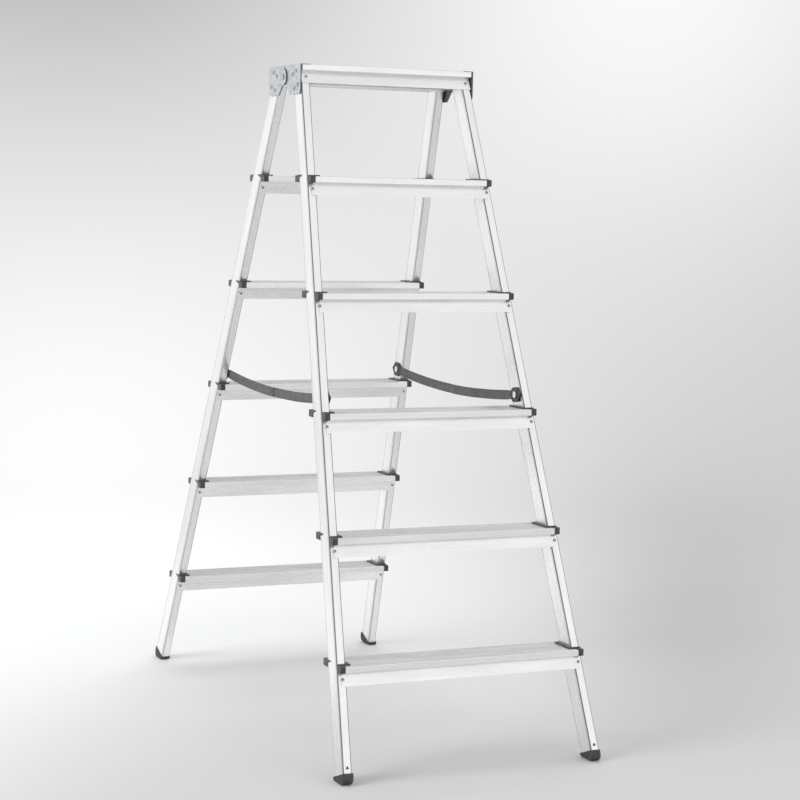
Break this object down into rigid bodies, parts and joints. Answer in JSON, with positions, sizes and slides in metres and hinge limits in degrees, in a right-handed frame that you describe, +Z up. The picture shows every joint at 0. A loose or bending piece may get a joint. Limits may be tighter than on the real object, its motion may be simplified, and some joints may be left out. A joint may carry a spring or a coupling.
{
  "type": "folding step ladder",
  "caption": "Double-sided folding aluminium step ladder with flat ribbed treads on both frames, riveted top hinge plates, plastic feet and flexible spreader straps.",
  "frame": {"origin": "on the floor at the centre of the open ladder's footprint", "axes": "+X to the right along the treads, +Y towards the rear frame, +Z up"},
  "size_m": [0.5076, 1.088, 1.259],
  "materials": {
    "rail": "bright extruded aluminium",
    "tread": "satin ribbed aluminium",
    "end_cap": "moulded dark grey plastic",
    "foot": "moulded dark grey plastic",
    "clip": "moulded black plastic",
    "hinge_plate": "zinc plated pressed steel",
    "rivet": "bright aluminium",
    "trim": "moulded dark plastic",
    "strap": "flexible dark grey plastic"
  },
  "bodies": {
    "front_frame": {"front_left_rail": "rail", "front_right_rail": "rail", "front_tread_1": "tread", "front_tread_2": "tread", "front_tread_3": "tread", "front_tread_4": "tread", "front_tread_5": "tread", "front_top_tread": "tread", "front_caps_1": "end_cap", "front_caps_2": "end_cap", "front_caps_3": "end_cap", "front_caps_4": "end_cap", "front_caps_5": "end_cap", "front_left_foot": "foot", "front_right_foot": "foot", "front_foot_clips": "clip", "front_left_hinge": "hinge_plate", "front_right_hinge": "hinge_plate", "left_pivot": "rivet", "right_pivot": "rivet", "front_hinge_rivets": "rivet", "front_tread_rivets": "rivet", "front_top_trims": "trim", "front_strap_rivets": "rivet"},
    "rear_frame": {"rear_left_rail": "rail", "rear_right_rail": "rail", "rear_tread_1": "tread", "rear_tread_2": "tread", "rear_tread_3": "tread", "rear_tread_4": "tread", "rear_tread_5": "tread", "rear_top_tread": "tread", "rear_caps_1": "end_cap", "rear_caps_2": "end_cap", "rear_caps_3": "end_cap", "rear_caps_4": "end_cap", "rear_caps_5": "end_cap", "rear_left_foot": "foot", "rear_right_foot": "foot", "rear_foot_clips": "clip", "rear_left_hinge": "hinge_plate", "rear_right_hinge": "hinge_plate", "rear_hinge_rivets": "rivet", "rear_tread_rivets": "rivet", "rear_top_trims": "trim", "rear_strap_rivets": "rivet"},
    "left_strap_front_head": {"left_strap_front_head": "strap"},
    "left_strap_front_run": {"left_strap_front_run": "strap"},
    "left_strap_front_lap": {"left_strap_front_lap": "strap"},
    "left_strap_rear_head": {"left_strap_rear_head": "strap"},
    "left_strap_rear_run": {"left_strap_rear_run": "strap"},
    "left_strap_rear_lap": {"left_strap_rear_lap": "strap"},
    "right_strap_front_head": {"right_strap_front_head": "strap"},
    "right_strap_front_run": {"right_strap_front_run": "strap"},
    "right_strap_front_lap": {"right_strap_front_lap": "strap"},
    "right_strap_rear_head": {"right_strap_rear_head": "strap"},
    "right_strap_rear_run": {"right_strap_rear_run": "strap"},
    "right_strap_rear_lap": {"right_strap_rear_lap": "strap"}
  },
  "joints": [
    {"name": "fold", "type": "hinge", "parent": "front_frame", "child": "rear_frame", "pos_m": [0, 0, 1.237], "axis": [-1, 0, 0], "range_deg": [0, 41.5]},
    {"name": "left_strap_front_swing", "type": "hinge", "parent": "front_frame", "child": "left_strap_front_head", "pos_m": [-0.19356, -0.27912, 0.6465], "axis": [-1, 0, 0], "range_deg": [0, 17]},
    {"name": "left_strap_front_bend_out", "type": "hinge", "parent": "left_strap_front_head", "child": "left_strap_front_run", "pos_m": [-0.19044, -0.24592, 0.64314], "axis": [0.1149, 0, -0.9934], "range_deg": [0, 117.7]},
    {"name": "left_strap_front_bend_back", "type": "hinge", "parent": "left_strap_front_run", "child": "left_strap_front_lap", "pos_m": [-0.19468, -0.09, 0.63306], "axis": [-0.1149, 0, 0.9934], "range_deg": [0, 117.7]},
    {"name": "left_strap_rear_swing", "type": "hinge", "parent": "rear_frame", "child": "left_strap_rear_head", "pos_m": [-0.19356, 0.27912, 0.6465], "axis": [-1, 0, 0], "range_deg": [-17, 0]},
    {"name": "left_strap_rear_bend_out", "type": "hinge", "parent": "left_strap_rear_head", "child": "left_strap_rear_run", "pos_m": [-0.19044, 0.24592, 0.64314], "axis": [-0.1149, 0, 0.9934], "range_deg": [0, 117.7]},
    {"name": "left_strap_rear_bend_back", "type": "hinge", "parent": "left_strap_rear_run", "child": "left_strap_rear_lap", "pos_m": [-0.19468, 0.09, 0.63306], "axis": [0.1149, 0, -0.9934], "range_deg": [0, 117.7]},
    {"name": "right_strap_front_swing", "type": "hinge", "parent": "front_frame", "child": "right_strap_front_head", "pos_m": [0.19356, -0.27912, 0.6465], "axis": [-1, 0, 0], "range_deg": [0, 17]},
    {"name": "right_strap_front_bend_out", "type": "hinge", "parent": "right_strap_front_head", "child": "right_strap_front_run", "pos_m": [0.19044, -0.24592, 0.64314], "axis": [0.1149, 0, 0.9934], "range_deg": [0, 117.7]},
    {"name": "right_strap_front_bend_back", "type": "hinge", "parent": "right_strap_front_run", "child": "right_strap_front_lap", "pos_m": [0.19468, -0.09, 0.63306], "axis": [-0.1149, 0, -0.9934], "range_deg": [0, 117.7]},
    {"name": "right_strap_rear_swing", "type": "hinge", "parent": "rear_frame", "child": "right_strap_rear_head", "pos_m": [0.19356, 0.27912, 0.6465], "axis": [-1, 0, 0], "range_deg": [-17, 0]},
    {"name": "right_strap_rear_bend_out", "type": "hinge", "parent": "right_strap_rear_head", "child": "right_strap_rear_run", "pos_m": [0.19044, 0.24592, 0.64314], "axis": [-0.1149, 0, -0.9934], "range_deg": [0, 117.7]},
    {"name": "right_strap_rear_bend_back", "type": "hinge", "parent": "right_strap_rear_run", "child": "right_strap_rear_lap", "pos_m": [0.19468, 0.09, 0.63306], "axis": [0.1149, 0, 0.9934], "range_deg": [0, 117.7]}
  ],
  "couplings": [
    {"joint": "left_strap_front_swing", "follows": "fold", "ratio": 0.4},
    {"joint": "left_strap_front_bend_out", "follows": "fold", "ratio": 2.8239},
    {"joint": "left_strap_front_bend_back", "follows": "fold", "ratio": 2.8239},
    {"joint": "left_strap_rear_swing", "follows": "fold", "ratio": -0.4},
    {"joint": "left_strap_rear_bend_out", "follows": "fold", "ratio": 2.8239},
    {"joint": "left_strap_rear_bend_back", "follows": "fold", "ratio": 2.8239},
    {"joint": "right_strap_front_swing", "follows": "fold", "ratio": 0.4},
    {"joint": "right_strap_front_bend_out", "follows": "fold", "ratio": 2.8239},
    {"joint": "right_strap_front_bend_back", "follows": "fold", "ratio": 2.8239},
    {"joint": "right_strap_rear_swing", "follows": "fold", "ratio": -0.4},
    {"joint": "right_strap_rear_bend_out", "follows": "fold", "ratio": 2.8239},
    {"joint": "right_strap_rear_bend_back", "follows": "fold", "ratio": 2.8239}
  ]
}
